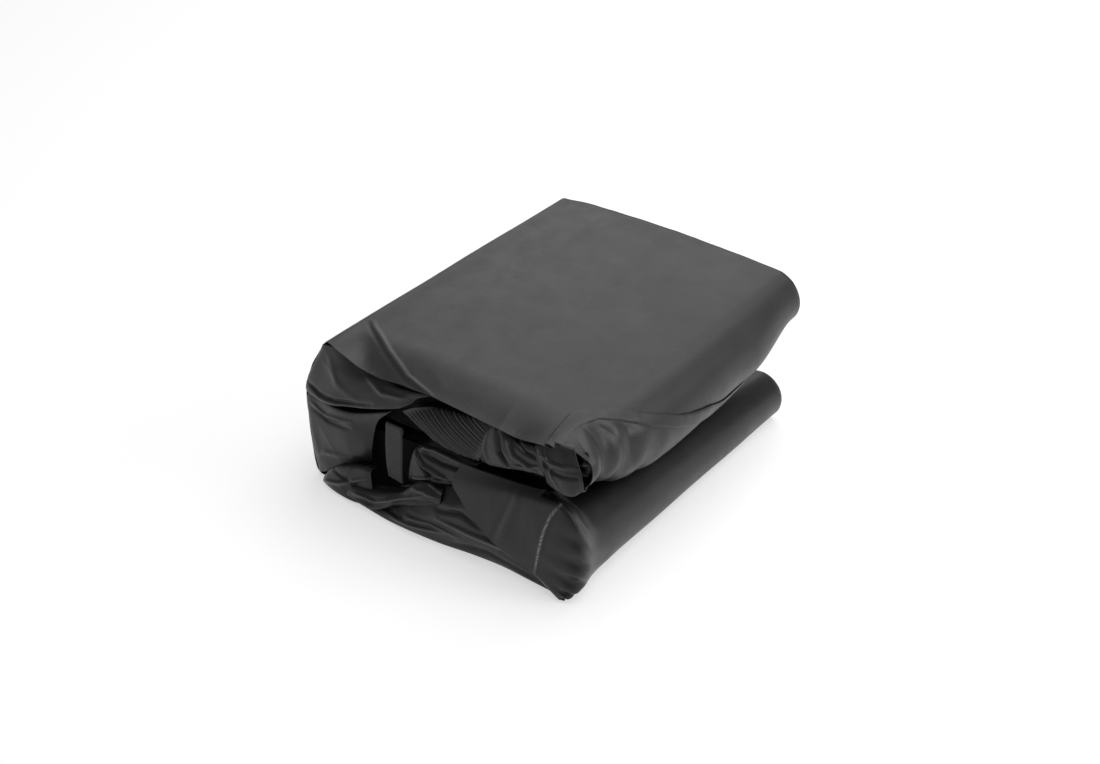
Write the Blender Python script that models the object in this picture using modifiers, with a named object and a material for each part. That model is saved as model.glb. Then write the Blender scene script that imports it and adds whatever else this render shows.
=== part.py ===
"""A square spa cover of soft leatherette, folded up for storage.

The cover is folded like a book. Its spine is the crease on the -X side, and the two halves end in
rounded rolls on the +X side. Each half is the top panel wrapped round the folded lining and skirt.
The skirt's corners, the gathered hem and a tie-down strap show at the open front end (-Y). A second
strap hangs at the rear end (+Y), and three more lie between the halves. Metres, +Z up, standing on z = 0.
"""

import math

import bmesh
import bpy
from mathutils import Matrix, Vector

# Driving dimensions of the folded bundle
SPINE_X = -0.1987
FRONT_Y = -0.2055
REAR_Y = 0.2055
SPINE_Z = 0.0937
TOP_Z = 0.1880
TOP_CROWN = 0.0050
REAR_RISE = 0.0100

# The two rolls on the +X side, and the stacks that they wrap
LOWER_ROLL_X = 0.136
LOWER_HEIGHT_FRONT = 0.098
LOWER_HEIGHT_REAR = 0.056
LOWER_STACK_Z = 0.0850
UPPER_ROLL_X = 0.1460
UPPER_STACK_Z = 0.1020
RETURN_END_X = -0.030
# Height of the upper roll's underside: (0 front to 1 rear, height)
UPPER_FLOOR = ((0.0, 0.118), (0.35, 0.091), (0.75, 0.103), (1.0, 0.136))

SHEET = 0.0024
GAP = 0.0006
HINGE_GAP = 0.0012
STACK_GAP = 0.0035
# Each stack is level from the spine to here, and then slopes to the roll
LEVEL_X = -0.035
SLOPE_X = 0.070
CORNER_RADIUS = 0.012
STATIONS = 9
ROLL_STEPS = 8

# The welt along the seam on the upper roll: its angle round the roll, front to rear, and its size
WELT_ANGLES = (64.0, -34.0)
WELT_WIDTH = 0.012
WELT_THICK = 0.0012

# The ends' folds stand between the panel's edge and these faces
FRONT_FOLD_Y = -0.2325
FRONT_EDGE_Y = FRONT_Y - 0.0010
REAR_EDGE_Y = REAR_Y + 0.0010
REAR_FOLD_Y = 0.2243

# Tie-down webbing and its side-release buckle insert
STRAP_WIDTH = 0.025
STRAP_THICK = 0.0020
PATCH_SIDE = 0.032
PATCH_THICK = 0.0015
BUCKLE_WIDTH = 0.033
BUCKLE_THICK = 0.0055
BUCKLE_FRAME = 0.013
BUCKLE_BAR = 0.0035
SLOT_HEIGHT = 0.0032
PRONG_LENGTH = 0.0255
PRONG_WIDTH = 0.0055
GUIDE_WIDTH = 0.0045
PART_GAP = 0.0004
BAR_GAP = 0.0020

TAB_X = -0.0640
TAB_Y = -0.2090
TAB_Z = (0.0470, 0.1200)
REAR_STRAP_X = -0.100
REAR_STRAP_Z = (0.0460, 0.0790)
INNER_STRAP_Z = 0.0812
# Straps between the halves: (name, x, y of the sewn end, y of the buckle's bar)
INNER_STRAPS = (("front", -0.064, -0.180, -0.070), ("left", -0.112, 0.150, 0.020), ("spine", -0.160, 0.060, -0.080))

LEATHERETTE = ("leatherette", (0.075, 0.075, 0.078), 0.42, 0.0)
LINING = ("lining", (0.050, 0.050, 0.052), 0.75, 0.0)
ELASTIC_HEM = ("elastic_hem", (0.060, 0.060, 0.062), 0.60, 0.0)
WEBBING = ("webbing", (0.060, 0.060, 0.063), 0.80, 0.0)
ACETAL = ("acetal", (0.020, 0.020, 0.021), 0.35, 0.0)


def clear_scene():
    for obj in list(bpy.data.objects):
        bpy.data.objects.remove(obj, do_unlink=True)


def material(spec):
    name, colour, roughness, metallic = spec
    found = bpy.data.materials.get(name)
    if found:
        return found
    made = bpy.data.materials.new(name)
    made.use_nodes = True
    shader = made.node_tree.nodes["Principled BSDF"]
    shader.inputs["Base Color"].default_value = (*colour, 1.0)
    shader.inputs["Roughness"].default_value = roughness
    shader.inputs["Metallic"].default_value = metallic
    return made


def new_object(name, data, spec, smooth=True):
    """A named object in the cover's collection. A mesh is shaded smooth up to 40 degrees."""
    obj = bpy.data.objects.new(name, data)
    obj.data.materials.append(material(spec))
    bpy.data.collections["spa_cover"].objects.link(obj)
    if smooth and obj.type == "MESH":
        obj.data.shade_smooth()
        obj.data.set_sharp_from_angle(angle=math.radians(40))
    return obj


def mesh_object(name, bm, spec):
    mesh = bpy.data.meshes.new(name)
    bm.to_mesh(mesh)
    bm.free()
    return new_object(name, mesh, spec)


def lerp(a, b, t):
    return a + (b - a) * t


def along(y):
    """0 at the front end of the panel and 1 at its rear end."""
    return (y - FRONT_Y) / (REAR_Y - FRONT_Y)


def arc(centre, radius, start, end, steps):
    """Points (x, z) on a circle, from one angle to another in degrees."""
    angles = [math.radians(lerp(start, end, i / steps)) for i in range(steps + 1)]
    return [(centre[0] + radius * math.cos(a), centre[1] + radius * math.sin(a)) for a in angles]


def lower_height(y):
    return lerp(LOWER_HEIGHT_FRONT, LOWER_HEIGHT_REAR, along(y))


def upper_floor(y):
    """The underside of the upper roll, eased between its heights."""
    t = min(max(along(y), 0.0), 1.0)
    for (t0, z0), (t1, z1) in zip(UPPER_FLOOR, UPPER_FLOOR[1:]):
        if t <= t1:
            share = (t - t0) / (t1 - t0)
            return lerp(z0, z1, share * share * (3 - 2 * share))
    return UPPER_FLOOR[-1][1]


def upper_top(x, y):
    """The top panel's height: a low crown, and a little higher at the rear of the roll."""
    across = (x - SPINE_X) / (UPPER_ROLL_X - SPINE_X)
    return TOP_Z + TOP_CROWN * math.sin(math.pi * min(across, 1.0)) + REAR_RISE * across * along(y)


def lower_wrap(y):
    """The lower half's outer line: spine, floor, roll, and back over the stack."""
    half = lower_height(y) / 2
    corner = (SPINE_X + 0.006 + CORNER_RADIUS, CORNER_RADIUS)
    return [
        (SPINE_X, SPINE_Z - HINGE_GAP),
        (SPINE_X + 0.001, 0.060),
        (SPINE_X + 0.004, 0.030),
        *arc(corner, CORNER_RADIUS, 190, 270, 4),
        (-0.090, 0.0),
        (0.000, 0.0),
        (0.080, 0.0),
        *arc((LOWER_ROLL_X, half), half, -90, 90, ROLL_STEPS),
        (0.080, lerp(LOWER_STACK_Z, 2 * half, 0.7)),
        (0.020, lerp(LOWER_STACK_Z, 2 * half, 0.3)),
        (RETURN_END_X, LOWER_STACK_Z),
    ]


def upper_wrap(y):
    """The upper half's outer line: back under the stack, roll, top and spine."""
    floor, top = upper_floor(y), upper_top(UPPER_ROLL_X, y)
    half = (top - floor) / 2
    corner = (SPINE_X + 0.034 + CORNER_RADIUS, TOP_Z - CORNER_RADIUS)
    return [
        (RETURN_END_X, UPPER_STACK_Z),
        (0.020, lerp(UPPER_STACK_Z, floor, 0.3)),
        (0.080, lerp(UPPER_STACK_Z, floor, 0.7)),
        *arc((UPPER_ROLL_X, floor + half), half, -90, 90, ROLL_STEPS),
        *[(x, upper_top(x, y)) for x in (0.090, 0.020, -0.050, -0.110)],
        *arc(corner, CORNER_RADIUS, 90, 155, 4),
        (SPINE_X + 0.010, 0.140),
        (SPINE_X + 0.002, 0.115),
        (SPINE_X, SPINE_Z + HINGE_GAP),
    ]


def stations(first, last, count=STATIONS):
    return [lerp(first, last, i / (count - 1)) for i in range(count)]


def lofted_shell(name, line_at, spec):
    """A sheet that follows line_at(y) from the front to the rear, thickened inwards."""
    bm = bmesh.new()
    rows = [[bm.verts.new((x, y, z)) for x, z in line_at(y)] for y in stations(FRONT_Y, REAR_Y)]
    for low, high in zip(rows, rows[1:]):
        for i in range(len(low) - 1):
            bm.faces.new((low[i], high[i], high[i + 1], low[i + 1]))
    shell = mesh_object(name, bm, spec)
    solid = shell.modifiers.new("cloth thickness", "SOLIDIFY")
    solid.thickness = SHEET
    solid.offset = -1.0
    solid.use_even_offset = True
    return shell


def slab_section(x0, x1, low, high):
    """A closed slab section with a rounded fold at +X. low and high are heights at the spine and at the roll."""
    half = (high[1] - low[1]) / 2
    shoulder = min((high[0] - low[0]) * 0.3, 0.012)
    return [
        *arc((x0 + shoulder, low[0] + shoulder), shoulder, 180, 270, 3),
        (LEVEL_X, low[0]),
        (SLOPE_X, lerp(*low, 0.7)),
        *arc((x1 - half, low[1] + half), half, -90, 90, 6),
        (SLOPE_X, lerp(*high, 0.62)),
        (LEVEL_X, high[0]),
        *arc((x0 + shoulder, high[0] - shoulder), shoulder, 90, 180, 3),
    ]


def lofted_slab(name, section_at, spec, y0, y1):
    """A closed stack of folded cloth: section_at(y) lofted from y0 to y1, with flat ends."""
    bm = bmesh.new()
    rings = [[bm.verts.new((x, y, z)) for x, z in section_at(y)] for y in stations(y0, y1)]
    count = len(rings[0])
    for low, high in zip(rings, rings[1:]):
        for i in range(count):
            j = (i + 1) % count
            bm.faces.new((low[i], low[j], high[j], high[i]))
    bm.faces.new(rings[0])
    bm.faces.new(rings[-1])
    bmesh.ops.recalc_face_normals(bm, faces=bm.faces)
    return mesh_object(name, bm, spec)


def outline_slab(name, points, y0, y1, spec):
    """A flat fold of cloth from y0 to y1. Its rounded outline runs inside the closed line of (x, z) points."""
    curve = bpy.data.curves.new(name, "CURVE")
    curve.dimensions = "2D"
    curve.fill_mode = "BOTH"
    curve.extrude = (y1 - y0) / 2
    spline = curve.splines.new("NURBS")
    spline.points.add(len(points) - 1)
    for knot, (x, z) in zip(spline.points, points):
        knot.co = (x, z, 0.0, 1.0)
    spline.order_u = 3
    spline.resolution_u = 4
    spline.use_cyclic_u = True
    fold = new_object(name, curve, spec)
    fold.location = (0.0, (y0 + y1) / 2, 0.0)
    fold.rotation_euler = (math.radians(90), 0.0, 0.0)
    return fold


def block(name, low, high, spec):
    """A box from its lowest to its highest corner."""
    low, high = Vector(low), Vector(high)
    bm = bmesh.new()
    size = Matrix.Diagonal((*(high - low), 1.0))
    bmesh.ops.create_cube(bm, size=1.0, matrix=size)
    box = mesh_object(name, bm, spec)
    box.location = (low + high) / 2
    return box


def add_top_panel():
    lofted_shell("top_panel_lower", lower_wrap, LEATHERETTE)
    lofted_shell("top_panel_upper", upper_wrap, LEATHERETTE)


def add_stacks():
    """The lining and the skirt, folded flat inside each half."""
    inset = SHEET + 2 * GAP
    front, rear = FRONT_Y + 0.016, REAR_Y - 0.004
    lower_left, lower_right = SPINE_X + 0.014, LOWER_ROLL_X + 0.008
    upper_left, upper_right = SPINE_X + 0.038, UPPER_ROLL_X + 0.006

    def lower_middle(y):
        return (0.48 * LOWER_STACK_Z, 0.48 * lower_height(y))

    def upper_middle(y):
        return (0.146, lerp(upper_floor(y), upper_top(UPPER_ROLL_X, y), 0.5))

    def lower_lining(y):
        return slab_section(lower_left, lower_right, (inset, inset), lower_middle(y))

    def lower_skirt(y):
        low = [z + STACK_GAP for z in lower_middle(y)]
        return slab_section(lower_left, lower_right, low, (LOWER_STACK_Z - inset - GAP, lower_height(y) - inset - GAP))

    def upper_skirt(y):
        low = (UPPER_STACK_Z + inset + 3 * GAP, upper_floor(y) + inset + 3 * GAP)
        return slab_section(upper_left, upper_right, low, upper_middle(y))

    def upper_lining(y):
        low = [z + STACK_GAP for z in upper_middle(y)]
        high = (TOP_Z - inset, upper_top(UPPER_ROLL_X, y) - inset)
        return slab_section(upper_left, upper_right, low, high)

    lofted_slab("lining_fold_lower", lower_lining, LINING, front, rear)
    lofted_slab("skirt_fold_lower", lower_skirt, LEATHERETTE, front, rear)
    lofted_slab("skirt_fold_upper", upper_skirt, LEATHERETTE, front, rear)
    lofted_slab("lining_fold_upper", upper_lining, LINING, front, rear)


def add_welt():
    """The welt that covers the seam between the top panel and the skirt, along the upper roll."""

    def line(y):
        floor, top = upper_floor(y), upper_top(UPPER_ROLL_X, y)
        half = (top - floor) / 2
        middle = lerp(*WELT_ANGLES, min(1.0, 1.6 * along(y)))
        reach = math.degrees(WELT_WIDTH / 2 / half)
        outside = half + WELT_THICK + 2 * GAP
        return arc((UPPER_ROLL_X, floor + half), outside, middle - reach, middle + reach, 3)

    welt = lofted_shell("seam_welt_upper", line, LEATHERETTE)
    welt.modifiers["cloth thickness"].thickness = WELT_THICK


def add_front_folds():
    """Folds of the skirt and the hem that close the open front end, lower half first."""
    outline_slab(
        "front_flap_lower",
        [(-0.010, 0.086), (0.032, 0.118), (0.100, 0.116), (0.172, 0.112), (0.190, 0.084), (0.192, 0.040),
         (0.176, 0.004), (0.148, 0.002), (0.112, 0.010), (0.070, 0.030), (0.024, 0.064)],
        -0.2225, FRONT_EDGE_Y, LEATHERETTE,
    )
    outline_slab(
        "front_hem_lower",
        [(-0.104, 0.001), (0.000, 0.001), (0.070, 0.001), (0.128, 0.001), (0.104, 0.0090),
         (0.066, 0.024), (0.030, 0.048), (0.012, 0.036), (-0.034, 0.022), (-0.074, 0.014)],
        FRONT_FOLD_Y, FRONT_EDGE_Y, ELASTIC_HEM,
    )
    outline_slab(
        "middle_fold_lower",
        [(-0.100, 0.014), (-0.064, 0.018), (-0.026, 0.028), (0.009, 0.042), (0.026, 0.056),
         (0.004, 0.076), (-0.019, 0.060), (-0.046, 0.044), (-0.096, 0.038)],
        -0.2245, FRONT_EDGE_Y, LEATHERETTE,
    )
    outline_slab(
        "corner_fold_lower",
        [(-0.190, 0.001), (-0.190, 0.014), (-0.159, 0.030), (-0.136, 0.045), (-0.102, 0.046),
         (-0.102, 0.026), (-0.106, 0.001)],
        -0.2265, FRONT_EDGE_Y, LEATHERETTE,
    )
    outline_slab(
        "spine_tuck_lower",
        [(-0.194, 0.026), (-0.198, 0.060), (-0.199, 0.090), (-0.154, 0.090), (-0.098, 0.092),
         (-0.084, 0.076), (-0.088, 0.056), (-0.110, 0.050), (-0.140, 0.049), (-0.168, 0.034)],
        -0.2195, FRONT_EDGE_Y, LEATHERETTE,
    )
    outline_slab(
        "spine_tuck_upper",
        [(-0.199, 0.097), (-0.196, 0.125), (-0.186, 0.152), (-0.170, 0.180), (-0.134, 0.172), (-0.090, 0.166),
         (-0.040, 0.156), (-0.056, 0.140), (-0.098, 0.122), (-0.134, 0.106), (-0.166, 0.098)],
        -0.2175, FRONT_EDGE_Y, LEATHERETTE,
    )
    outline_slab(
        "gathered_hem_upper",
        [(-0.066, 0.144), (-0.034, 0.154), (0.006, 0.160), (0.060, 0.166), (0.068, 0.148),
         (0.058, 0.130), (0.026, 0.128), (-0.014, 0.126), (-0.052, 0.130)],
        FRONT_Y + 0.001, FRONT_Y + 0.015, ELASTIC_HEM,
    )
    outline_slab(
        "hem_cuff_upper",
        [(0.058, 0.140), (0.062, 0.166), (0.096, 0.180), (0.150, 0.184), (0.182, 0.174), (0.194, 0.150),
         (0.182, 0.124), (0.156, 0.120), (0.132, 0.130), (0.098, 0.134)],
        -0.2225, FRONT_EDGE_Y, LEATHERETTE,
    )


def add_rear_folds():
    """The skirt, tucked in across the rear end of each half."""
    outline_slab(
        "rear_tuck_lower",
        [(-0.194, 0.002), (-0.196, 0.044), (-0.194, 0.086), (-0.100, 0.083), (0.000, 0.074),
         (0.070, 0.060), (0.118, 0.038), (0.110, 0.008), (0.050, 0.003), (-0.060, 0.002)],
        REAR_EDGE_Y, REAR_FOLD_Y, LEATHERETTE,
    )
    outline_slab(
        "rear_tuck_upper",
        [(-0.192, 0.102), (-0.184, 0.145), (-0.166, 0.178), (-0.060, 0.180), (0.040, 0.186),
         (0.116, 0.182), (0.138, 0.158), (0.104, 0.138), (0.000, 0.120), (-0.100, 0.106)],
        REAR_EDGE_Y, REAR_FOLD_Y, LEATHERETTE,
    )


def add_buckle(name, place):
    """A side-release buckle insert: frame with a webbing slot and a guide, and two springy prongs.

    It is drawn in its own plane: x across, y from the webbing bar (negative) to the prong tips. place is
    the matrix that puts it in the bundle, with the webbing bar at the origin.
    """
    frame_top = BUCKLE_FRAME - BUCKLE_BAR / 2
    half = BUCKLE_WIDTH / 2
    outer = [
        (-half, -BUCKLE_BAR / 2), (half, -BUCKLE_BAR / 2), (half, frame_top),
        (GUIDE_WIDTH / 2, frame_top), (GUIDE_WIDTH / 2, frame_top + 0.8 * PRONG_LENGTH),
        (-GUIDE_WIDTH / 2, frame_top + 0.8 * PRONG_LENGTH), (-GUIDE_WIDTH / 2, frame_top), (-half, frame_top),
    ]
    slot_half = STRAP_WIDTH / 2 + 0.0007
    slot = [
        (-slot_half, BUCKLE_BAR / 2), (slot_half, BUCKLE_BAR / 2),
        (slot_half, BUCKLE_BAR / 2 + SLOT_HEIGHT), (-slot_half, BUCKLE_BAR / 2 + SLOT_HEIGHT),
    ]
    flat_plate(name + "_frame", [outer, slot], BUCKLE_THICK, place)
    root = frame_top + PART_GAP
    tip = root + PRONG_LENGTH
    for side, sign in (("left", -1), ("right", 1)):
        inner_x, outer_x = half - 0.0015 - PRONG_WIDTH, half - 0.0015
        prong = [
            (inner_x, root), (outer_x, root), (outer_x, root + 0.35 * PRONG_LENGTH),
            (half + 0.0010, root + 0.55 * PRONG_LENGTH), (half, root + 0.80 * PRONG_LENGTH),
            (outer_x - 0.0020, tip), (inner_x - 0.0010, tip), (inner_x - 0.0010, root + 0.70 * PRONG_LENGTH),
            (inner_x, root + 0.45 * PRONG_LENGTH),
        ]
        flat_plate(f"{name}_prong_{side}", [[(sign * x, y) for x, y in prong]], BUCKLE_THICK * 0.8, place)


def flat_plate(name, outlines, thick, place):
    """A moulded plate with straight edges; a second outline is a hole through it."""
    curve = bpy.data.curves.new(name, "CURVE")
    curve.dimensions = "2D"
    curve.fill_mode = "BOTH"
    curve.extrude = thick / 2
    for points in outlines:
        spline = curve.splines.new("POLY")
        spline.points.add(len(points) - 1)
        for knot, (x, y) in zip(spline.points, points):
            knot.co = (x, y, 0.0, 1.0)
        spline.use_cyclic_u = True
    plate = new_object(name, curve, ACETAL)
    plate.matrix_world = place
    return plate


def add_front_tail():
    """The webbing's tail, turned up at the open end of the fold."""
    half = STRAP_WIDTH / 2 - 0.0015
    block("strap_tail_front", (TAB_X - half, TAB_Y - STRAP_THICK, TAB_Z[0]), (TAB_X + half, TAB_Y, TAB_Z[1]), WEBBING)


def add_rear_strap():
    """The rear tie-down: a patch sewn to the skirt, the hanging webbing, and its buckle."""
    face = REAR_FOLD_Y + GAP
    half, side = STRAP_WIDTH / 2, PATCH_SIDE / 2
    low, high = REAR_STRAP_Z
    x = REAR_STRAP_X
    block("strap_patch_rear", (x - side, face, high - PATCH_SIDE), (x + side, face + PATCH_THICK, high), LEATHERETTE)
    strap_y = face + PATCH_THICK + GAP
    block("strap_rear", (x - half, strap_y, low), (x + half, strap_y + STRAP_THICK, high), WEBBING)
    middle_y = face + PATCH_THICK + GAP + BUCKLE_THICK / 2
    bar = Vector((x, middle_y, low - BAR_GAP - BUCKLE_BAR / 2))
    hanging = Matrix.Translation(bar) @ Matrix.Rotation(math.radians(-90), 4, "X")
    add_buckle("buckle_rear", hanging)


def add_inner_straps():
    """Tie-downs that lie between the halves, on the lower stack, each with its buckle."""
    for name, x, y_sewn, y_bar in INNER_STRAPS:
        heading = 1 if y_bar > y_sewn else -1
        half = STRAP_WIDTH / 2
        end = y_bar - heading * (BUCKLE_BAR / 2 + BAR_GAP)
        low, high = sorted((y_sewn, end))
        block(
            f"strap_{name}",
            (x - half, low, INNER_STRAP_Z), (x + half, high, INNER_STRAP_Z + STRAP_THICK), WEBBING,
        )
        turn = Matrix.Rotation(0.0 if heading > 0 else math.radians(180), 4, "Z")
        place = Matrix.Translation((x, y_bar, INNER_STRAP_Z + BUCKLE_THICK / 2)) @ turn
        add_buckle(f"buckle_{name}", place)


if __name__ == "__main__":
    clear_scene()
    cover = bpy.data.collections.new("spa_cover")
    bpy.context.scene.collection.children.link(cover)
    add_top_panel()
    add_stacks()
    add_welt()
    add_front_folds()
    add_rear_folds()
    add_front_tail()
    add_rear_strap()
    add_inner_straps()
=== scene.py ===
"""Looks for the folded spa cover: sheets, folds, seams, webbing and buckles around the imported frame."""
import math

import bmesh
import bpy
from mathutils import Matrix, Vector, noise


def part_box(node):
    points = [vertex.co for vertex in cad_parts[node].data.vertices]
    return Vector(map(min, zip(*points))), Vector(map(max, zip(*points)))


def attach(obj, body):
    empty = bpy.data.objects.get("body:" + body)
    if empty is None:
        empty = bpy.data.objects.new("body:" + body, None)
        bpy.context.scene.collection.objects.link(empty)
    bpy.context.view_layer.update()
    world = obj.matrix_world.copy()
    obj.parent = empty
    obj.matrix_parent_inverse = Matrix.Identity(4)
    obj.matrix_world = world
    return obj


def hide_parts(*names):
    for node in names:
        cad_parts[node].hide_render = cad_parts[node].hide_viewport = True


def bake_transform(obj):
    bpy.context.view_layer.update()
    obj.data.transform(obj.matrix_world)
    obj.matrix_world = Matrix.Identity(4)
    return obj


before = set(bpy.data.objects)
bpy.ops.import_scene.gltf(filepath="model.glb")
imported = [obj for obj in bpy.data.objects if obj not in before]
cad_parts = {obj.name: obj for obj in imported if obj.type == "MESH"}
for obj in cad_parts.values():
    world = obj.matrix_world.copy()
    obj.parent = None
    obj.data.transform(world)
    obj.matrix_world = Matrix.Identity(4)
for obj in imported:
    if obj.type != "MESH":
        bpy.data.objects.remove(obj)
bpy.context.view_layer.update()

MM = 0.001
UPPER_LOW, UPPER_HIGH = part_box("top_panel_upper")
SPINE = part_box("top_panel_lower")[0][0]
FRONT = UPPER_LOW[1]
REAR = UPPER_HIGH[1]
LENGTH = (REAR - FRONT) / MM
UPPER_HALF, LOWER_HALF = "upper_half", "lower_half"

# Everything below is in millimetres from the spine (u), from the floor (v), and out of the front end (d).
CLOTH = 1.1
LOWER_CENTRE = 334.7
UPPER_CENTRE = 344.7
# Height of the upper roll's underside: (share of the length from the front end, v)
UPPER_FLOOR = ((0.0, 118.0), (0.35, 91.0), (0.75, 101.0), (1.0, 130.0))
UPPER_TOP = 188.0
REAR_RISE = 10.0
CROWN = 5.0


def at(u, v, d):
    """The point in metres, in the frame's own axes."""
    return Vector((SPINE + u * MM, FRONT - d * MM, v * MM))


def local_box(node):
    """A node's lowest and highest corners as (u, v, d): the highest d is on the lowest corner."""
    return [((x - SPINE) / MM, z / MM, (FRONT - y) / MM) for x, y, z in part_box(node)]


def lerp(a, b, t):
    return a + (b - a) * t


def steps(first, last, count, power=1.0):
    """Values from first to last, evenly spaced or, with a power over 1, closer together at the start."""
    return [lerp(first, last, (k / (count - 1)) ** power) for k in range(count)]


def mix(p, q, t):
    return tuple(lerp(a, b, t) for a, b in zip(p, q))


def smooth(t):
    t = min(max(t, 0.0), 1.0)
    return t * t * (3 - 2 * t)


def ramp(x, x0, x1):
    return smooth((x - x0) / (x1 - x0))


def straight(knots, x, shape=None):
    """A value read from (x, value) knots, with straight runs between unless a shape bends them."""
    if x <= knots[0][0]:
        return knots[0][1]
    for (x0, v0), (x1, v1) in zip(knots, knots[1:]):
        if x <= x1:
            t = (x - x0) / (x1 - x0)
            return lerp(v0, v1, shape(t) if shape else t)
    return knots[-1][1]


def eased(knots, x):
    """A value read from (x, value) knots, easing from one to the next."""
    return straight(knots, x, smooth)


def catmull(points, x):
    """A point on a smooth line through all the points, x from 0 to 1."""
    n = len(points) - 1
    x = min(max(x, 0.0), 1.0) * n
    i = min(int(x), n - 1)
    t = x - i
    p1, p2 = points[i], points[i + 1]
    p0 = points[i - 1] if i > 0 else tuple(2 * a - b for a, b in zip(p1, p2))
    p3 = points[i + 2] if i + 2 <= n else tuple(2 * b - a for a, b in zip(p1, p2))
    out = []
    for a, b, c, e in zip(p0, p1, p2, p3):
        square = (2 * a - 5 * b + 4 * c - e) * t * t
        cube = (3 * b - a - 3 * c + e) * t ** 3
        out.append(0.5 * (2 * b + (c - a) * t + square + cube))
    return tuple(out)


def even(points, count, bias=1.0):
    """The smooth line through the points, read at evenly spaced places, or closer together at its start."""
    fine = [catmull(points, k / 400) for k in range(401)]
    reach = [0.0]
    for p, q in zip(fine, fine[1:]):
        reach.append(reach[-1] + math.dist(p, q))
    out, j = [], 0
    for k in range(count):
        want = reach[-1] * (k / (count - 1)) ** bias
        while j < 399 and reach[j + 1] < want:
            j += 1
        step = reach[j + 1] - reach[j]
        out.append(mix(fine[j], fine[j + 1], (want - reach[j]) / step if step else 0.0))
    return out


def along(d):
    """0 at the front edge of the top panel, 1 at its rear edge."""
    return min(max(-d / LENGTH, 0.0), 1.0)


def segment_distance(p, a, b):
    """Distance in the plane from p to the stretch a-b, and how far along it."""
    ax, ay = b[0] - a[0], b[1] - a[1]
    t = ((p[0] - a[0]) * ax + (p[1] - a[1]) * ay) / (ax * ax + ay * ay)
    t = min(max(t, 0.0), 1.0)
    return math.hypot(p[0] - a[0] - ax * t, p[1] - a[1] - ay * t), t


def crease(p, line, width):
    """1 on a line of (x, y) points, falling to 0 a few widths away, and thin at its ends."""
    best, place = 1e9, 0.0
    for k, (a, b) in enumerate(zip(line, line[1:])):
        dist, t = segment_distance(p, a, b)
        if dist < best:
            best, place = dist, (k + t) / (len(line) - 1)
    return math.exp(-(best / width) ** 2) * math.sin(math.pi * min(max(place, 0.02), 0.98)) ** 0.4


def ridged(p, seed, sharp=2.0):
    """Cloth wrinkles: sharp crests and broad hollows, -0.5 to 0.5."""
    value = 1.0 - abs(noise.noise(Vector(p) + Vector((seed * 7.3, seed * 3.1, seed * 1.7))) * 2.0)
    return max(value, 0.0) ** sharp - 0.5


def soft(p, seed):
    return noise.noise(Vector(p) + Vector((seed * 5.1, seed * 2.3, seed * 9.7)))


def new_object(name, data, place=(0.0, 0.0, 0.0)):
    obj = bpy.data.objects.new(name, data)
    obj.location = place
    bpy.context.scene.collection.objects.link(obj)
    return obj


# ---------------------------------------------------------------- materials

def nodes_of(name):
    mat = bpy.data.materials.new(name)
    mat.use_nodes = True
    tree = mat.node_tree
    return mat, tree, tree.nodes["Principled BSDF"]


def add(tree, kind, **values):
    node = tree.nodes.new(kind)
    for key, value in values.items():
        if key in node.inputs:
            node.inputs[key].default_value = value
        else:
            setattr(node, key, value)
    return node


def colour_ramp(tree, source, low, high, first=0.0, last=1.0):
    """Two colours, or two greys, spread over the source's values."""
    node = tree.nodes.new("ShaderNodeValToRGB")
    node.color_ramp.elements[0].position = first
    node.color_ramp.elements[1].position = last
    for element, colour in zip(node.color_ramp.elements, (low, high)):
        element.color = colour if len(colour) == 4 else (*colour, 1.0)
    tree.links.new(source, node.inputs[0])
    return node


def grey(value):
    return (value, value, value, 1.0)


def tint(base, share):
    """The base colour, darker or lighter."""
    return tuple(c * share for c in base)


def texture(tree, place, kind, **values):
    """A texture node read at a place on the surface."""
    node = add(tree, kind, **values)
    tree.links.new(place, node.inputs["Vector"])
    return node


def multiply(tree, a, b):
    node = tree.nodes.new("ShaderNodeMix")
    node.data_type = "RGBA"
    node.blend_type = "MULTIPLY"
    node.inputs["Factor"].default_value = 1.0
    tree.links.new(a, node.inputs["A"])
    tree.links.new(b, node.inputs["B"])
    return node.outputs["Result"]


def bump_on(tree, shader, height, strength, distance, before=None):
    bump = add(tree, "ShaderNodeBump", Strength=strength, Distance=distance)
    tree.links.new(height, bump.inputs["Height"])
    if before is not None:
        tree.links.new(before.outputs["Normal"], bump.inputs["Normal"])
    tree.links.new(bump.outputs["Normal"], shader.inputs["Normal"])
    return bump


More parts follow.
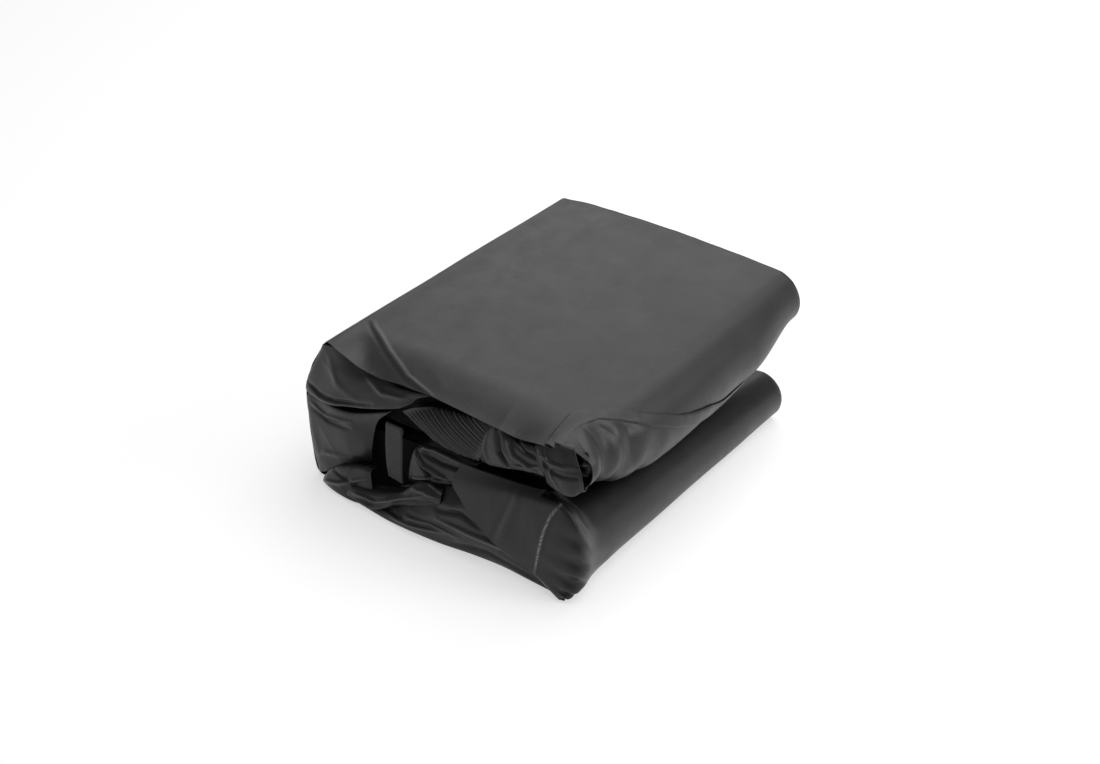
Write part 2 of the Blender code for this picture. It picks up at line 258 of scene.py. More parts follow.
def leatherette(name, base, rough, shine, grain=0.35):
    """Coated synthetic leather: pebbled grain, mottling, scuffs that dull the sheen, paler rubbed creases
    that are also a painted highlight, and painted shade in hollows and concave creases.
    """
    mat, tree, shader = nodes_of(name)
    place = tree.nodes.new("ShaderNodeTexCoord").outputs["Object"]
    mottle = texture(tree, place, "ShaderNodeTexNoise", Scale=14.0, Detail=4.0, Roughness=0.6)
    fine = texture(tree, place, "ShaderNodeTexNoise", Scale=420.0, Detail=3.0, Roughness=0.7)
    pebble = texture(tree, place, "ShaderNodeTexVoronoi", feature="SMOOTH_F1", Scale=950.0, Smoothness=0.6)
    broad = colour_ramp(tree, mottle.outputs["Fac"], grey(0.90), grey(1.08), 0.3, 0.7)
    speck = colour_ramp(tree, fine.outputs["Fac"], grey(0.93), grey(1.06), 0.3, 0.7)
    tone = add(tree, "ShaderNodeRGB")
    tone.outputs[0].default_value = (*base, 1.0)
    shade = multiply(tree, multiply(tree, tone.outputs[0], broad.outputs["Color"]), speck.outputs["Color"])
    # Painted shade and rubbing: concave creases and hollows are darkened as shade, sharp ridges are paler as
    # rubbed coating.
    ridges = tree.nodes.new("ShaderNodeNewGeometry").outputs["Pointiness"]
    ridge_rubbing_and_painted_hollow_shade = colour_ramp(tree, ridges, grey(0.45), grey(1.5), 0.44, 0.58)
    ridge_rubbing_and_painted_hollow_shade.color_ramp.elements.new(0.5).color = grey(1.0)
    # Painted shade: ambient occlusion darkens the base colour in folds and recesses.
    hollow = add(tree, "ShaderNodeAmbientOcclusion", Distance=0.045)
    hollow.samples = 8
    painted_cavity_shade = colour_ramp(tree, hollow.outputs["AO"], grey(0.12), grey(1.0), 0.15, 0.8)
    shade = multiply(tree, shade, painted_cavity_shade.outputs["Color"])
    # Paler line along hard creases: rubbed coating and a painted highlight, mixed towards light grey.
    wear_and_highlight = tree.nodes.new("ShaderNodeAttribute")
    wear_and_highlight.attribute_name = "wear_and_highlight"
    paler = tree.nodes.new("ShaderNodeMix")
    paler.data_type = "RGBA"
    tree.links.new(wear_and_highlight.outputs["Fac"], paler.inputs["Factor"])
    tree.links.new(multiply(tree, shade, ridge_rubbing_and_painted_hollow_shade.outputs["Color"]), paler.inputs["A"])
    paler.inputs["B"].default_value = (0.30, 0.30, 0.305, 1.0)
    tree.links.new(paler.outputs["Result"], shader.inputs["Base Color"])
    scuff = texture(tree, place, "ShaderNodeTexNoise", Scale=38.0, Detail=6.0, Roughness=0.65)
    gloss = colour_ramp(tree, scuff.outputs["Fac"], grey(rough - 0.05), grey(rough + 0.08), 0.3, 0.75)
    tree.links.new(gloss.outputs["Color"], shader.inputs["Roughness"])
    shader.inputs["Specular IOR Level"].default_value = shine
    first = bump_on(tree, shader, scuff.outputs["Fac"], 0.18, 0.0012)
    bump_on(tree, shader, pebble.outputs["Distance"], grain, 0.0003, first)
    return mat


def woven(name, base, pitch, rough=0.85, strength=0.6):
    """Plain-woven cloth: crossing threads on UVs that are in metres."""
    mat, tree, shader = nodes_of(name)
    uv = tree.nodes.new("ShaderNodeUVMap")
    split = tree.nodes.new("ShaderNodeSeparateXYZ")
    tree.links.new(uv.outputs["UV"], split.inputs[0])

    def wave(axis, offset):
        scaled = add(tree, "ShaderNodeMath", operation="MULTIPLY_ADD")
        tree.links.new(split.outputs[axis], scaled.inputs[0])
        scaled.inputs[1].default_value = 2 * math.pi / pitch
        scaled.inputs[2].default_value = offset
        sine = add(tree, "ShaderNodeMath", operation="SINE")
        tree.links.new(scaled.outputs[0], sine.inputs[0])
        return sine.outputs[0]

    crossing = add(tree, "ShaderNodeMath", operation="MULTIPLY")
    tree.links.new(wave("X", 0.0), crossing.inputs[0])
    tree.links.new(wave("Y", 0.0), crossing.inputs[1])
    thread = add(tree, "ShaderNodeTexNoise", Scale=600.0, Detail=3.0)
    dirt = add(tree, "ShaderNodeTexNoise", Scale=30.0, Detail=4.0)
    height = add(tree, "ShaderNodeMath", operation="MULTIPLY_ADD")
    tree.links.new(thread.outputs["Fac"], height.inputs[0])
    height.inputs[1].default_value = 0.8
    tree.links.new(crossing.outputs[0], height.inputs[2])
    tone = colour_ramp(tree, crossing.outputs[0], tint(base, 0.72), tint(base, 1.2), 0.1, 0.9)
    broad = colour_ramp(tree, dirt.outputs["Fac"], grey(0.88), grey(1.1), 0.3, 0.7)
    tree.links.new(multiply(tree, tone.outputs["Color"], broad.outputs["Color"]), shader.inputs["Base Color"])
    shader.inputs["Roughness"].default_value = rough
    shader.inputs["Sheen Weight"].default_value = 0.15
    shader.inputs["Sheen Roughness"].default_value = 0.5
    bump_on(tree, shader, height.outputs[0], strength, pitch * 0.25)
    return mat


def moulded(name, base, rough):
    """Moulded plastic with a fine spark-eroded texture and slightly polished, rubbed patches."""
    mat, tree, shader = nodes_of(name)
    place = tree.nodes.new("ShaderNodeTexCoord").outputs["Object"]
    grain = texture(tree, place, "ShaderNodeTexNoise", Scale=1600.0, Detail=2.0)
    broad = texture(tree, place, "ShaderNodeTexNoise", Scale=70.0, Detail=4.0)
    tone = colour_ramp(tree, broad.outputs["Fac"], tint(base, 0.85), tint(base, 1.2), 0.3, 0.7)
    tree.links.new(tone.outputs["Color"], shader.inputs["Base Color"])
    gloss = colour_ramp(tree, broad.outputs["Fac"], grey(rough - 0.06), grey(rough + 0.1), 0.3, 0.7)
    tree.links.new(gloss.outputs["Color"], shader.inputs["Roughness"])
    bump_on(tree, shader, grain.outputs["Fac"], 0.25, 0.0001)
    return mat


LEATHER = leatherette("leatherette_grain", (0.024, 0.024, 0.0248), 0.40, 0.32)
# Darker copy of the leatherette: painted shade for the front folds, the skirt and the tucked layers.
LEATHER_PAINTED_SHADE = leatherette("leatherette_painted_shade", (0.017, 0.017, 0.0176), 0.33, 0.24)
# Near-black copy of the leatherette: painted shadow for the sheets set back in the open end's cavities.
LEATHER_PAINTED_CAVITY_SHADOW = leatherette("leatherette_painted_cavity_shadow", (0.005, 0.005, 0.0052), 0.62, 0.12)
BACKING = woven("woven_backing", (0.012, 0.012, 0.0124), 0.0009)
ELASTIC = leatherette("gathered_hem_cloth", (0.020, 0.020, 0.0206), 0.42, 0.3, 0.2)
WEBBING = woven("polypropylene_webbing", (0.030, 0.030, 0.031), 0.0016, 0.7, 0.9)
THREAD = woven("bonded_thread", (0.075, 0.075, 0.078), 0.0007, 0.6)
ACETAL = moulded("moulded_acetal", (0.020, 0.020, 0.021), 0.38)


# ---------------------------------------------------------------- sheets

def grid_mesh(name, rows, mat, cloth=CLOTH, wear_and_highlight=None):
    """A sheet through rows of (u, v, d) points. Its UVs are in metres along and across.

    The last argument, a function of a point from 0 to 1, says where a hard crease is paler: rubbed coating
    and a painted highlight.
    """
    nu, nv = len(rows[0]), len(rows)
    verts = [at(*p) for row in rows for p in row]
    faces = []
    for j in range(nv - 1):
        for i in range(nu - 1):
            a = j * nu + i
            faces.append((a, a + 1, a + nu + 1, a + nu))
    mesh = bpy.data.meshes.new(name)
    mesh.from_pydata(verts, [], faces)
    across, down = [0.0] * nu, [0.0] * nv
    middle = rows[nv // 2]
    for i in range(1, nu):
        across[i] = across[i - 1] + math.dist(middle[i - 1], middle[i]) * MM
    for j in range(1, nv):
        down[j] = down[j - 1] + math.dist(rows[j - 1][nu // 2], rows[j][nu // 2]) * MM
    layer = mesh.uv_layers.new(name="UVMap")
    for loop in mesh.loops:
        j, i = divmod(loop.vertex_index, nu)
        layer.data[loop.index].uv = (across[i], down[j])
    if wear_and_highlight:
        pale = mesh.attributes.new("wear_and_highlight", "FLOAT", "POINT")
        for item, p in zip(pale.data, (p for row in rows for p in row)):
            item.value = wear_and_highlight(Vector(p))
    mesh.shade_smooth()
    mesh.materials.append(mat)
    obj = new_object(name, mesh)
    if cloth:
        solid = obj.modifiers.new("cloth", "SOLIDIFY")
        solid.thickness = cloth * MM
        solid.offset = -1.0
    widths = [sum(math.dist(p, q) for p, q in zip(row, row[1:])) for row in rows[:: max(nv // 12, 1)]]
    return obj


def displaced(rows, shift):
    """The rows, each point moved outward, along rows x columns, by shift(i, j, point) millimetres."""
    nv, nu = len(rows), len(rows[0])
    out = []
    for j in range(nv):
        line = []
        for i in range(nu):
            p = Vector(rows[j][i])
            du = Vector(rows[j][min(i + 1, nu - 1)]) - Vector(rows[j][max(i - 1, 0)])
            dv = Vector(rows[min(j + 1, nv - 1)][i]) - Vector(rows[max(j - 1, 0)][i])
            normal = du.cross(dv)
            if normal.length > 1e-9:
                normal.normalize()
            line.append(tuple(p + normal * shift(i / (nu - 1), j / (nv - 1), p)))
        out.append(line)
    return out


def patch(name, control, nu, nv, mat, shift=None, body=None, cloth=CLOTH, bias=(1.0, 1.0), wear_and_highlight=None):
    """A smooth sheet through a grid of control points, with wrinkles from shift."""
    lines = [even(row, nu, bias[0]) for row in control]
    columns = [even([line[i] for line in lines], nv, bias[1]) for i in range(nu)]
    rows = [[columns[i][j] for i in range(nu)] for j in range(nv)]
    if shift:
        rows = displaced(rows, shift)
    obj = grid_mesh(name, rows, mat, cloth, wear_and_highlight)
    if body:
        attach(obj, body)
    return obj


# ---------------------------------------------------------------- the top panel

def upper_floor(d):
    return eased(UPPER_FLOOR, along(d))


def upper_top(u, d):
    across = min(u / UPPER_CENTRE, 1.0)
    return UPPER_TOP + CROWN * math.sin(math.pi * max(across, 0.0)) + REAR_RISE * across * along(d)


def roll_point(d, angle, out=0.0):
    """A point on the upper roll. Past 90 degrees it runs back over the top."""
    floor, top = upper_floor(d), upper_top(UPPER_CENTRE, d)
    half = (top - floor) / 2
    if angle > 90:
        u = UPPER_CENTRE - math.radians(angle - 90) * half
        return (u, upper_top(u, d) + out, d)
    if angle < -90:
        u = UPPER_CENTRE + math.radians(angle + 90) * half
        return (u, floor - out, d)
    a = math.radians(angle)
    return (UPPER_CENTRE + (half + out) * math.cos(a), floor + half + (half + out) * math.sin(a), d)


# Where the top panel stops on the roll and the skirt is sewn on: (d, degrees round the roll)
SEAM_LOW = (
    (-430, -88), (-330, -82), (-270, -62), (-215, -30), (-177, -12), (-139, 8), (-111, 23), (-89, 40),
    (-69, 56), (-56, 68), (-40, 73), (5, 73),
)
SEAM_HIGH = (
    (-430, -66), (-330, -60), (-270, -42), (-215, -9), (-185, 2), (-158, 14), (-130, 31), (-107, 46),
    (-89, 62), (-73, 79), (-61, 94), (-46, 104), (-18, 100), (5, 94),
)
FRONT_LIP = 6.0
# How far the front lip hangs down: (u, drop)
LIP_DROP = ((45.0, 0.0), (130.0, 10.0), (300.0, 12.0), (350.0, 5.0))
# The hard crease across the front corner: (u, d)
CORNER_FOLD = ((50, -60), (64, -49), (107, -24), (151, -4), (192, 5))


def top_sag(u, d):
    """How far the top panel drops: a rounded front lip, and the pulled-down corner beside its crease."""
    lip = eased(LIP_DROP, u) * ramp(d, -52.0, FRONT_LIP + 12.0) ** 1.6 * 1.25
    ahead = max(d - straight(CORNER_FOLD, u), 0.0)
    fade = ramp(u, 46.0, 92.0) * (1 - ramp(u, 176.0, 205.0))
    pulled = 0.30 * ahead * fade * (1 - 0.35 * ramp(ahead, 20, 50))
    pinch = 0.9 * crease((u, d), CORNER_FOLD, 1.8) - 0.8 * crease((u + 1.5, d - 5.0), CORNER_FOLD, 2.6)
    return lip + pulled - pinch


def add_upper_panel():
    rows = []
    for d in steps(FRONT_LIP, -LENGTH, 170, 1.7):
        hidden_end = straight(SEAM_LOW, d) - 2.0
        arcs = [roll_point(d, angle) for angle in steps(hidden_end, 90, 9)]
        tops = [(u, upper_top(u, d), d) for u in (300.0, 250.0, 200.0, 150.0, 110.0, 75.0)]
        spine = [(50.0, 189.0, d), (41.0, 188.0, d), (34.5, 183.0, d), (25.5, 169.0, d), (16.0, 153.0, d),
                 (8.0, 135.0, d), (2.5, 118.0, d), (0.6, 107.0, d), (0.2, 103.7, d)]
        line = reversed(even(arcs + tops + spine, 250))
        bent = []
        for u, v, d in line:
            d -= 7.0 * (1 - ramp(u, 26.0, 60.0)) * (1 - ramp(-d, 0.0, 60.0))
            if v > 150:
                v -= top_sag(u, d) * ramp(v, 150, 178)
            bent.append((u, v, d))
        rows.append(bent)

    def shift(i, j, p):
        calm = 0.9 * soft((p.x * 0.009, p.y * 0.012, p.z * 0.007), 1.0)
        pull = 0.45 * soft((p.x * 0.030, p.y * 0.03, p.z * 0.012), 2.0)
        ends = 0.7 * ramp(p.z, -45, 0) + 0.5 * ramp(-p.z, 330, 411)
        return calm + pull + ends * 0.8 * ridged((p.x * 0.022, p.y * 0.03, p.z * 0.010), 3.0)

    # Painted highlight and rubbed coating: a double pale line along the corner crease, on the top only.
    def wear_and_highlight(p):
        on_top = ramp(p.y, 165, 172)
        rubbed_crease_highlight = crease((p.x, p.z), CORNER_FOLD, 0.9)
        beside = crease((p.x - 4.0, p.z + 1.0), CORNER_FOLD, 0.8)
        return 0.20 * on_top * (rubbed_crease_highlight + 0.6 * beside)

    panel = grid_mesh("top_panel_outer", displaced(rows, shift), LEATHER, CLOTH, wear_and_highlight)
    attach(panel, UPPER_HALF)
    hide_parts("top_panel_upper")


def add_spine():
    """The strip of top panel over the spine crease, not attached to either half."""
    rows = []
    for d in steps(-1.0, -LENGTH, 120):
        rows.append([(-0.5 + 0.3 * ((v - 93.7) / 12.0) ** 2, v, d) for v in steps(82.0, 106.0, 17)])

    def shift(i, j, p):
        return -0.5 * soft((p.x * 0.03, p.y * 0.03, p.z * 0.012), 2.0)

    strip = grid_mesh("top_panel_spine", displaced(rows, shift), LEATHER)
    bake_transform(strip)


def lower_height(d):
    return lerp(98.0, 56.0, along(d))


def add_lower_panel():
    """Floor and spine side of the lower half, from under the roll up to the spine crease."""
    rows = []
    for d in steps(-1.0, -LENGTH, 110):
        half = lower_height(d) / 2
        bottom = [(LOWER_CENTRE + half * math.cos(a), half + half * math.sin(a), d)
                  for a in (math.radians(angle) for angle in steps(-35, -90, 6))]
        floor = [(u, 0.0, d) for u in (280.0, 200.0, 120.0, 60.0)]
        side = [(18.0, 0.0, d), (10.5, 2.6, d), (7.0, 8.0, d), (4.4, 25.0, d), (1.9, 50.0, d), (0.6, 72.0, d),
                (0.2, 85.5, d)]
        rows.append(even(bottom + floor + side, 130))

    def shift(i, j, p):
        if p.y < 3.0:
            return 0.0
        return 0.6 * soft((p.x * 0.03, p.y * 0.03, p.z * 0.012), 2.0) * ramp(p.y, 3, 20)

    panel = grid_mesh("top_panel_floor", displaced(rows, shift), LEATHER)
    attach(panel, LOWER_HALF)
    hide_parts("top_panel_lower")


def add_lower_wrap():
    """The sheet over the lower roll, carried round the front corner as a flap whose free edge slants down."""
    angles = [-90, -65, -40, -15, 10, 35, 60, 85, 108]
    free_edge = [(362, 1.2, 11), (353, 7, 13), (335, 18, 15), (308, 28, 15), (280, 38, 16), (254, 56, 16),
                 (235, 73, 15), (222, 89, 13), (231, 112, 5)]
    corner = [(371, 1, 9), (377, 5, 9.5), (383, 15, 9), (387, 38, 8), (387, 63, 7), (383, 87, 6),
              (372, 106, 5), (354, 117, 3), (336, 120, -3)]
    turned = [(356, 0.6, -5), (374, 3, -5), (385, 16, -5), (390, 40, -6), (389, 66, -7), (382, 89, -8),
              (366, 106, -9), (343, 113, -10), (325, 111, -12)]
    rows = []
    for k, angle in enumerate(angles):
        a = math.radians(angle)
        edge, bend = free_edge[k], corner[k]
        between = [(u, v, d + 2.5) for u, v, d in (mix(edge, bend, 0.34), mix(edge, bend, 0.68))]
        row = [edge, *between, bend, turned[k]]
        for d in (-32, -70, -130, -210, -310, -LENGTH):
            half = lower_height(d) / 2
            belly = math.exp(-((angle + 45) / 24) ** 2)
            swell = 1.5 * ramp(d, -90, -20) + 0.13 * half * (1 - 0.5 * along(d)) * belly
            low = half + (half + swell) * math.sin(a)
            row.append((LOWER_CENTRE + (half + swell) * math.cos(a), max(low, 0.7), d))
        rows.append(row)
    shiny = [(335, 22), (340, 48), (345, 76), (352, 100), (366, 126)]
    slack = [(288, 44), (300, 74), (312, 108)]

    def shift(i, j, p):
        front = ramp(p.z, -14, 6)
        fold = 1.7 * crease((p.x, p.y), shiny, 1.5) * front
        pull = 2.6 * soft((p.x * 0.020, p.y * 0.013, p.z * 0.02), 4.0) * front
        vertical = 0.4 * ridged((p.x * 0.030, p.y * 0.006, 0.0), 5.0, 2.5) * front * ramp(p.y, 24, 60)
        vertical += 1.8 * crease((p.x, p.y), slack, 5.0) - 1.2 * crease((p.x + 9, p.y), slack, 4.0)
        side = (1 - front) * 0.7 * soft((0.0, p.y * 0.03, p.z * 0.012), 6.0)
        near = (1 - front) * ramp(p.z, -110, -20) * 0.3 * ridged((p.z * 0.02, p.y * 0.02, 0.0), 7.0)
        grounded = ramp(p.y, 1.0, 9.0)
        return (fold + pull + vertical + side + near) * grounded

    # Painted highlight and rubbed coating along the shiny crease on the flap's front, broken up by noise.
    def wear_and_highlight(p):
        broken = 0.85 + 0.6 * soft((p.x * 0.05, p.y * 0.06, 0.0), 15.0)
        return min(max(broken, 0.0), 1.0) * crease((p.x, p.y), shiny, 0.75) * ramp(p.z, -4, 4)

    wrap = patch("skirt_wrap_lower", rows, 240, 120, LEATHER_PAINTED_SHADE, shift, LOWER_HALF,
                 bias=(1.6, 1.0), wear_and_highlight=wear_and_highlight)
    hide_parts("front_flap_lower")


# ---------------------------------------------------------------- the rolled skirt of the upper half

def add_skirt_drape():
    """The skirt below the seam, hanging round the upper roll, with its turned-in front edge."""
    # How far the front edge stands out: (degrees round the roll, d)
    edge = [(-105, -6), (-60, 1), (-30, 5), (-8, -3), (18, -11), (45, -3), (73, 3)]
    distances = [0, 8, 18, 30, 44, 60, 80, 105, 135, 170, 210, 260, 320, LENGTH - 3]
    rows = []
    for back in distances:
        row = []
        for angle in steps(straight(SEAM_LOW, -back) + 5, -122, 15):
            d = straight(edge, angle) * (1 - ramp(back, 0, 55)) - back
            puff = 13.0 * math.exp(-((back + 2) / 26.0) ** 2) * math.exp(-((angle - 2) / 46.0) ** 2)
            sag = 5.0 * math.exp(-((back - 45) / 40.0) ** 2) * ramp(-angle, 10, 70)
            u, v, _ = roll_point(min(d, 0.0), angle, 0.9 + puff + sag)
            v += 24.0 * (1 - ramp(back, 4, 84)) * ramp(-angle, -14, 68)
            row.append((u, v, d))
        rows.append(row[::-1])

    def shift(i, j, p):
        near = ramp(p.z, -175, -40)
        drift = 1.5 * soft((p.z * 0.015, p.y * 0.02, 0.0), 8.0)
        hang = 3.4 * math.sin((p.z + 0.30 * p.y) * 0.155 + drift) * near
        fine = 1.2 * ridged((p.z * 0.045, p.y * 0.018, p.x * 0.01), 9.0, 1.6) * near
        broad = 1.0 * soft((p.x * 0.02, p.y * 0.022, p.z * 0.014), 10.0)
        under_seam = ramp(i, 1.0, 0.90)
        return (hang * 0.55 + fine) * under_seam * ramp(-p.z, -8, 30) + broad * under_seam

    drape = patch("skirt_drape_upper", rows, 90, 210, LEATHER, shift, UPPER_HALF, bias=(1.0, 1.5))


def add_seam_band():
    """The flat-felled seam between the top panel and the skirt, with a row of stitches at each edge."""
    stations = steps(5.6, -LENGTH + 1, 171, 1.3)

    def on_band(d, share, out):
        u, v, _ = roll_point(d, lerp(straight(SEAM_LOW, d), straight(SEAM_HIGH, d), share), out)
        return (u, v - top_sag(u, d) * ramp(v, 150, 178), d)

    shares = steps(0.0, 1.0, 19)
    rows = [[on_band(d, t, 0.8 + 2.1 * min(1.0, 9.0 * min(t, 1 - t))) for t in shares] for d in stations]
    rows = displaced(rows, lambda i, j, p: 0.5 * soft((p.z * 0.09, p.y * 0.03, 0.0), 12.0))
    band = grid_mesh("seam_band_upper", rows, LEATHER, 0.8)
    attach(band, UPPER_HALF)
    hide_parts("seam_welt_upper")
    for side, share in (("low", 0.22), ("high", 0.80)):
        line = [on_band(d, share, 3.05) for d in stations]
        stitches(f"seam_thread_{side}", line, UPPER_HALF, 4.2, 2.9)


def stitches(name, line, body, pitch=3.6, length=2.5, radius=0.33):
    """A row of thread stitches along a line of points, each one a short pill that dips at both ends."""
    reach = [0.0]
    for p, q in zip(line, line[1:]):
        reach.append(reach[-1] + math.dist(p, q))

    def read(s):
        for k in range(len(line) - 1):
            if s <= reach[k + 1]:
                return mix(line[k], line[k + 1], (s - reach[k]) / max(reach[k + 1] - reach[k], 1e-9))
        return line[-1]

    verts, faces = [], []
    sides, rings = 5, ((0.0, 0.25), (0.25, 0.95), (0.75, 0.95), (1.0, 0.25))
    s = pitch * 0.5
    while s + length < reach[-1]:
        a, b = at(*read(s)), at(*read(s + length))
        heading = (b - a).normalized()
        side = heading.cross(Vector((0.31, 0.42, 0.85))).normalized()
        other = heading.cross(side)
        first = len(verts)
        for share, size in rings:
            centre = a.lerp(b, share)
            for k in range(sides):
                turn = 2 * math.pi * k / sides
                verts.append(centre + (side * math.cos(turn) + other * math.sin(turn)) * radius * size * MM)
        for ring in range(len(rings) - 1):
            for k in range(sides):
                p, q = first + ring * sides + k, first + ring * sides + (k + 1) % sides
                faces.append((p, q, q + sides, p + sides))
        faces.append(tuple(first + k for k in reversed(range(sides))))
        faces.append(tuple(first + (len(rings) - 1) * sides + k for k in range(sides)))
        s += pitch
    mesh = bpy.data.meshes.new(name)
    mesh.from_pydata(verts, [], faces)
    mesh.shade_smooth()
    mesh.materials.append(THREAD)
    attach(new_object(name, mesh), body)


# ---------------------------------------------------------------- folds that close the open front end

